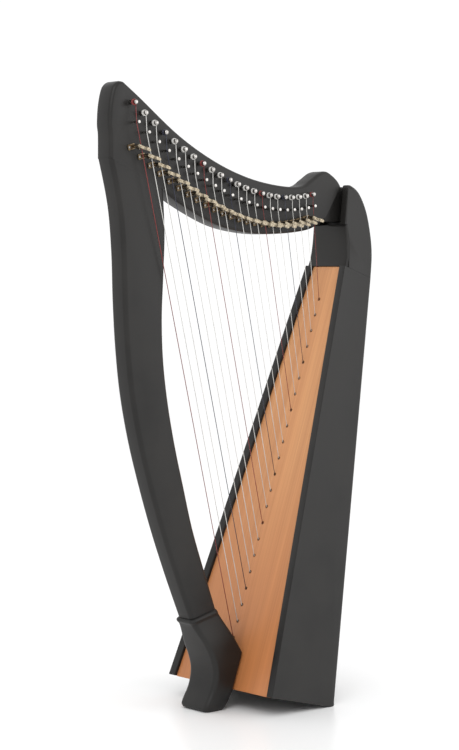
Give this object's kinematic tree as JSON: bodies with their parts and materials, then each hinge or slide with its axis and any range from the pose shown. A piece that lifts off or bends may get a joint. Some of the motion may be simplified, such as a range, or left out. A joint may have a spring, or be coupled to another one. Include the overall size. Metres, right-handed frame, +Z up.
{
  "type": "harp",
  "caption": "Small floor-standing lever harp: curved pillar and neck, leaning wooden soundboard, strings on turning tuning pins with swinging sharping levers.",
  "frame": {"origin": "centre of the harp's footprint, on the floor", "axes": "+Z up; +X from the pillar towards the soundbox; the strings run on the neck's -Y side"},
  "size_m": [0.4578, 0.2164, 0.8388],
  "materials": {
    "satin_black": "satin black lacquer over wood",
    "inner_wood": "bare wood",
    "soundboard_wood": "satin clear lacquer",
    "string_nylon": "smooth nylon",
    "nickel": "polished nickel",
    "lever_metal": "pale gold plating",
    "bolt_steel": "zinc plated"
  },
  "bodies": {
    "frame": {"back_panel": "satin_black", "base_block": "inner_wood", "base_panel": "satin_black", "board_liner": "inner_wood", "foot_bolt": "bolt_steel", "left_cheek": "satin_black", "left_side_panel": "satin_black", "neck": "satin_black", "pillar": "satin_black", "pillar_foot": "satin_black", "right_cheek": "satin_black", "right_side_panel": "satin_black", "shoulder_block": "satin_black", "soundboard": "soundboard_wood", "strings": "string_nylon", "top_block": "satin_black"},
    "tuning_pin_01": {"tuning_pin_01": "nickel"},
    "tuning_pin_02": {"tuning_pin_02": "nickel"},
    "tuning_pin_03": {"tuning_pin_03": "nickel"},
    "tuning_pin_04": {"tuning_pin_04": "nickel"},
    "tuning_pin_05": {"tuning_pin_05": "nickel"},
    "tuning_pin_06": {"tuning_pin_06": "nickel"},
    "tuning_pin_07": {"tuning_pin_07": "nickel"},
    "tuning_pin_08": {"tuning_pin_08": "nickel"},
    "tuning_pin_09": {"tuning_pin_09": "nickel"},
    "tuning_pin_10": {"tuning_pin_10": "nickel"},
    "tuning_pin_11": {"tuning_pin_11": "nickel"},
    "tuning_pin_12": {"tuning_pin_12": "nickel"},
    "tuning_pin_13": {"tuning_pin_13": "nickel"},
    "tuning_pin_14": {"tuning_pin_14": "nickel"},
    "tuning_pin_15": {"tuning_pin_15": "nickel"},
    "tuning_pin_16": {"tuning_pin_16": "nickel"},
    "tuning_pin_17": {"tuning_pin_17": "nickel"},
    "tuning_pin_18": {"tuning_pin_18": "nickel"},
    "tuning_pin_19": {"tuning_pin_19": "nickel"},
    "tuning_pin_20": {"tuning_pin_20": "nickel"},
    "tuning_pin_21": {"tuning_pin_21": "nickel"},
    "tuning_pin_22": {"tuning_pin_22": "nickel"},
    "sharping_lever_01": {"sharping_lever_01": "lever_metal"},
    "sharping_lever_02": {"sharping_lever_02": "lever_metal"},
    "sharping_lever_03": {"sharping_lever_03": "lever_metal"},
    "sharping_lever_04": {"sharping_lever_04": "lever_metal"},
    "sharping_lever_05": {"sharping_lever_05": "lever_metal"},
    "sharping_lever_06": {"sharping_lever_06": "lever_metal"},
    "sharping_lever_07": {"sharping_lever_07": "lever_metal"},
    "sharping_lever_08": {"sharping_lever_08": "lever_metal"},
    "sharping_lever_09": {"sharping_lever_09": "lever_metal"},
    "sharping_lever_10": {"sharping_lever_10": "lever_metal"},
    "sharping_lever_11": {"sharping_lever_11": "lever_metal"},
    "sharping_lever_12": {"sharping_lever_12": "lever_metal"},
    "sharping_lever_13": {"sharping_lever_13": "lever_metal"},
    "sharping_lever_14": {"sharping_lever_14": "lever_metal"},
    "sharping_lever_15": {"sharping_lever_15": "lever_metal"},
    "sharping_lever_16": {"sharping_lever_16": "lever_metal"},
    "sharping_lever_17": {"sharping_lever_17": "lever_metal"},
    "sharping_lever_18": {"sharping_lever_18": "lever_metal"},
    "sharping_lever_19": {"sharping_lever_19": "lever_metal"},
    "sharping_lever_20": {"sharping_lever_20": "lever_metal"},
    "sharping_lever_21": {"sharping_lever_21": "lever_metal"},
    "sharping_lever_22": {"sharping_lever_22": "lever_metal"}
  },
  "joints": [
    {"name": "tuning_pin_01_turn", "type": "hinge", "parent": "frame", "child": "tuning_pin_01", "pos_m": [-0.19441, 0, 0.81212], "axis": [0, 1, 0], "continuous": true},
    {"name": "tuning_pin_02_turn", "type": "hinge", "parent": "frame", "child": "tuning_pin_02", "pos_m": [-0.17732, 0, 0.79902], "axis": [0, 1, 0], "continuous": true},
    {"name": "tuning_pin_03_turn", "type": "hinge", "parent": "frame", "child": "tuning_pin_03", "pos_m": [-0.16044, 0, 0.78671], "axis": [0, 1, 0], "continuous": true},
    {"name": "tuning_pin_04_turn", "type": "hinge", "parent": "frame", "child": "tuning_pin_04", "pos_m": [-0.14377, 0, 0.77517], "axis": [0, 1, 0], "continuous": true},
    {"name": "tuning_pin_05_turn", "type": "hinge", "parent": "frame", "child": "tuning_pin_05", "pos_m": [-0.12731, 0, 0.76441], "axis": [0, 1, 0], "continuous": true},
    {"name": "tuning_pin_06_turn", "type": "hinge", "parent": "frame", "child": "tuning_pin_06", "pos_m": [-0.11106, 0, 0.75442], "axis": [0, 1, 0], "continuous": true},
    {"name": "tuning_pin_07_turn", "type": "hinge", "parent": "frame", "child": "tuning_pin_07", "pos_m": [-0.09501, 0, 0.74521], "axis": [0, 1, 0], "continuous": true},
    {"name": "tuning_pin_08_turn", "type": "hinge", "parent": "frame", "child": "tuning_pin_08", "pos_m": [-0.07917, 0, 0.73677], "axis": [0, 1, 0], "continuous": true},
    {"name": "tuning_pin_09_turn", "type": "hinge", "parent": "frame", "child": "tuning_pin_09", "pos_m": [-0.06354, 0, 0.72911], "axis": [0, 1, 0], "continuous": true},
    {"name": "tuning_pin_10_turn", "type": "hinge", "parent": "frame", "child": "tuning_pin_10", "pos_m": [-0.04812, 0, 0.72223], "axis": [0, 1, 0], "continuous": true},
    {"name": "tuning_pin_11_turn", "type": "hinge", "parent": "frame", "child": "tuning_pin_11", "pos_m": [-0.03291, 0, 0.71612], "axis": [0, 1, 0], "continuous": true},
    {"name": "tuning_pin_12_turn", "type": "hinge", "parent": "frame", "child": "tuning_pin_12", "pos_m": [-0.01791, 0, 0.71079], "axis": [0, 1, 0], "continuous": true},
    {"name": "tuning_pin_13_turn", "type": "hinge", "parent": "frame", "child": "tuning_pin_13", "pos_m": [-0.00311, 0, 0.70623], "axis": [0, 1, 0], "continuous": true},
    {"name": "tuning_pin_14_turn", "type": "hinge", "parent": "frame", "child": "tuning_pin_14", "pos_m": [0.01147, 0, 0.70245], "axis": [0, 1, 0], "continuous": true},
    {"name": "tuning_pin_15_turn", "type": "hinge", "parent": "frame", "child": "tuning_pin_15", "pos_m": [0.02585, 0, 0.69944], "axis": [0, 1, 0], "continuous": true},
    {"name": "tuning_pin_16_turn", "type": "hinge", "parent": "frame", "child": "tuning_pin_16", "pos_m": [0.04002, 0, 0.69722], "axis": [0, 1, 0], "continuous": true},
    {"name": "tuning_pin_17_turn", "type": "hinge", "parent": "frame", "child": "tuning_pin_17", "pos_m": [0.05398, 0, 0.69576], "axis": [0, 1, 0], "continuous": true},
    {"name": "tuning_pin_18_turn", "type": "hinge", "parent": "frame", "child": "tuning_pin_18", "pos_m": [0.06773, 0, 0.69509], "axis": [0, 1, 0], "continuous": true},
    {"name": "tuning_pin_19_turn", "type": "hinge", "parent": "frame", "child": "tuning_pin_19", "pos_m": [0.08128, 0, 0.69519], "axis": [0, 1, 0], "continuous": true},
    {"name": "tuning_pin_20_turn", "type": "hinge", "parent": "frame", "child": "tuning_pin_20", "pos_m": [0.09461, 0, 0.69606], "axis": [0, 1, 0], "continuous": true},
    {"name": "tuning_pin_21_turn", "type": "hinge", "parent": "frame", "child": "tuning_pin_21", "pos_m": [0.10774, 0, 0.69771], "axis": [0, 1, 0], "continuous": true},
    {"name": "tuning_pin_22_turn", "type": "hinge", "parent": "frame", "child": "tuning_pin_22", "pos_m": [0.12065, 0, 0.70014], "axis": [0, 1, 0], "continuous": true},
    {"name": "sharping_lever_01_swing", "type": "hinge", "parent": "frame", "child": "sharping_lever_01", "pos_m": [-0.19129, 0, 0.75564], "axis": [0, -1, 0], "range_deg": [0, 80]},
    {"name": "sharping_lever_02_swing", "type": "hinge", "parent": "frame", "child": "sharping_lever_02", "pos_m": [-0.1746, 0, 0.74402], "axis": [0, -1, 0], "range_deg": [0, 80]},
    {"name": "sharping_lever_03_swing", "type": "hinge", "parent": "frame", "child": "sharping_lever_03", "pos_m": [-0.15811, 0, 0.73315], "axis": [0, -1, 0], "range_deg": [0, 80]},
    {"name": "sharping_lever_04_swing", "type": "hinge", "parent": "frame", "child": "sharping_lever_04", "pos_m": [-0.14181, 0, 0.72301], "axis": [0, -1, 0], "range_deg": [0, 80]},
    {"name": "sharping_lever_05_swing", "type": "hinge", "parent": "frame", "child": "sharping_lever_05", "pos_m": [-0.12572, 0, 0.71362], "axis": [0, -1, 0], "range_deg": [0, 80]},
    {"name": "sharping_lever_06_swing", "type": "hinge", "parent": "frame", "child": "sharping_lever_06", "pos_m": [-0.10983, 0, 0.70498], "axis": [0, -1, 0], "range_deg": [0, 80]},
    {"name": "sharping_lever_07_swing", "type": "hinge", "parent": "frame", "child": "sharping_lever_07", "pos_m": [-0.09414, 0, 0.69708], "axis": [0, -1, 0], "range_deg": [0, 80]},
    {"name": "sharping_lever_08_swing", "type": "hinge", "parent": "frame", "child": "sharping_lever_08", "pos_m": [-0.07865, 0, 0.68992], "axis": [0, -1, 0], "range_deg": [0, 80]},
    {"name": "sharping_lever_09_swing", "type": "hinge", "parent": "frame", "child": "sharping_lever_09", "pos_m": [-0.06335, 0, 0.6835], "axis": [0, -1, 0], "range_deg": [0, 80]},
    {"name": "sharping_lever_10_swing", "type": "hinge", "parent": "frame", "child": "sharping_lever_10", "pos_m": [-0.04826, 0, 0.67783], "axis": [0, -1, 0], "range_deg": [0, 80]},
    {"name": "sharping_lever_11_swing", "type": "hinge", "parent": "frame", "child": "sharping_lever_11", "pos_m": [-0.03336, 0, 0.6729], "axis": [0, -1, 0], "range_deg": [0, 80]},
    {"name": "sharping_lever_12_swing", "type": "hinge", "parent": "frame", "child": "sharping_lever_12", "pos_m": [-0.01867, 0, 0.66871], "axis": [0, -1, 0], "range_deg": [0, 80]},
    {"name": "sharping_lever_13_swing", "type": "hinge", "parent": "frame", "child": "sharping_lever_13", "pos_m": [-0.00418, 0, 0.66527], "axis": [0, -1, 0], "range_deg": [0, 80]},
    {"name": "sharping_lever_14_swing", "type": "hinge", "parent": "frame", "child": "sharping_lever_14", "pos_m": [0.01012, 0, 0.66258], "axis": [0, -1, 0], "range_deg": [0, 80]},
    {"name": "sharping_lever_15_swing", "type": "hinge", "parent": "frame", "child": "sharping_lever_15", "pos_m": [0.02421, 0, 0.66062], "axis": [0, -1, 0], "range_deg": [0, 80]},
    {"name": "sharping_lever_16_swing", "type": "hinge", "parent": "frame", "child": "sharping_lever_16", "pos_m": [0.03811, 0, 0.65941], "axis": [0, -1, 0], "range_deg": [0, 80]},
    {"name": "sharping_lever_17_swing", "type": "hinge", "parent": "frame", "child": "sharping_lever_17", "pos_m": [0.0518, 0, 0.65894], "axis": [0, -1, 0], "range_deg": [0, 80]},
    {"name": "sharping_lever_18_swing", "type": "hinge", "parent": "frame", "child": "sharping_lever_18", "pos_m": [0.0653, 0, 0.65921], "axis": [0, -1, 0], "range_deg": [0, 80]},
    {"name": "sharping_lever_19_swing", "type": "hinge", "parent": "frame", "child": "sharping_lever_19", "pos_m": [0.07859, 0, 0.66023], "axis": [0, -1, 0], "range_deg": [0, 80]},
    {"name": "sharping_lever_20_swing", "type": "hinge", "parent": "frame", "child": "sharping_lever_20", "pos_m": [0.09169, 0, 0.662], "axis": [0, -1, 0], "range_deg": [0, 80]},
    {"name": "sharping_lever_21_swing", "type": "hinge", "parent": "frame", "child": "sharping_lever_21", "pos_m": [0.10458, 0, 0.6645], "axis": [0, -1, 0], "range_deg": [0, 80]},
    {"name": "sharping_lever_22_swing", "type": "hinge", "parent": "frame", "child": "sharping_lever_22", "pos_m": [0.11728, 0, 0.66775], "axis": [0, -1, 0], "range_deg": [0, 80]}
  ]
}
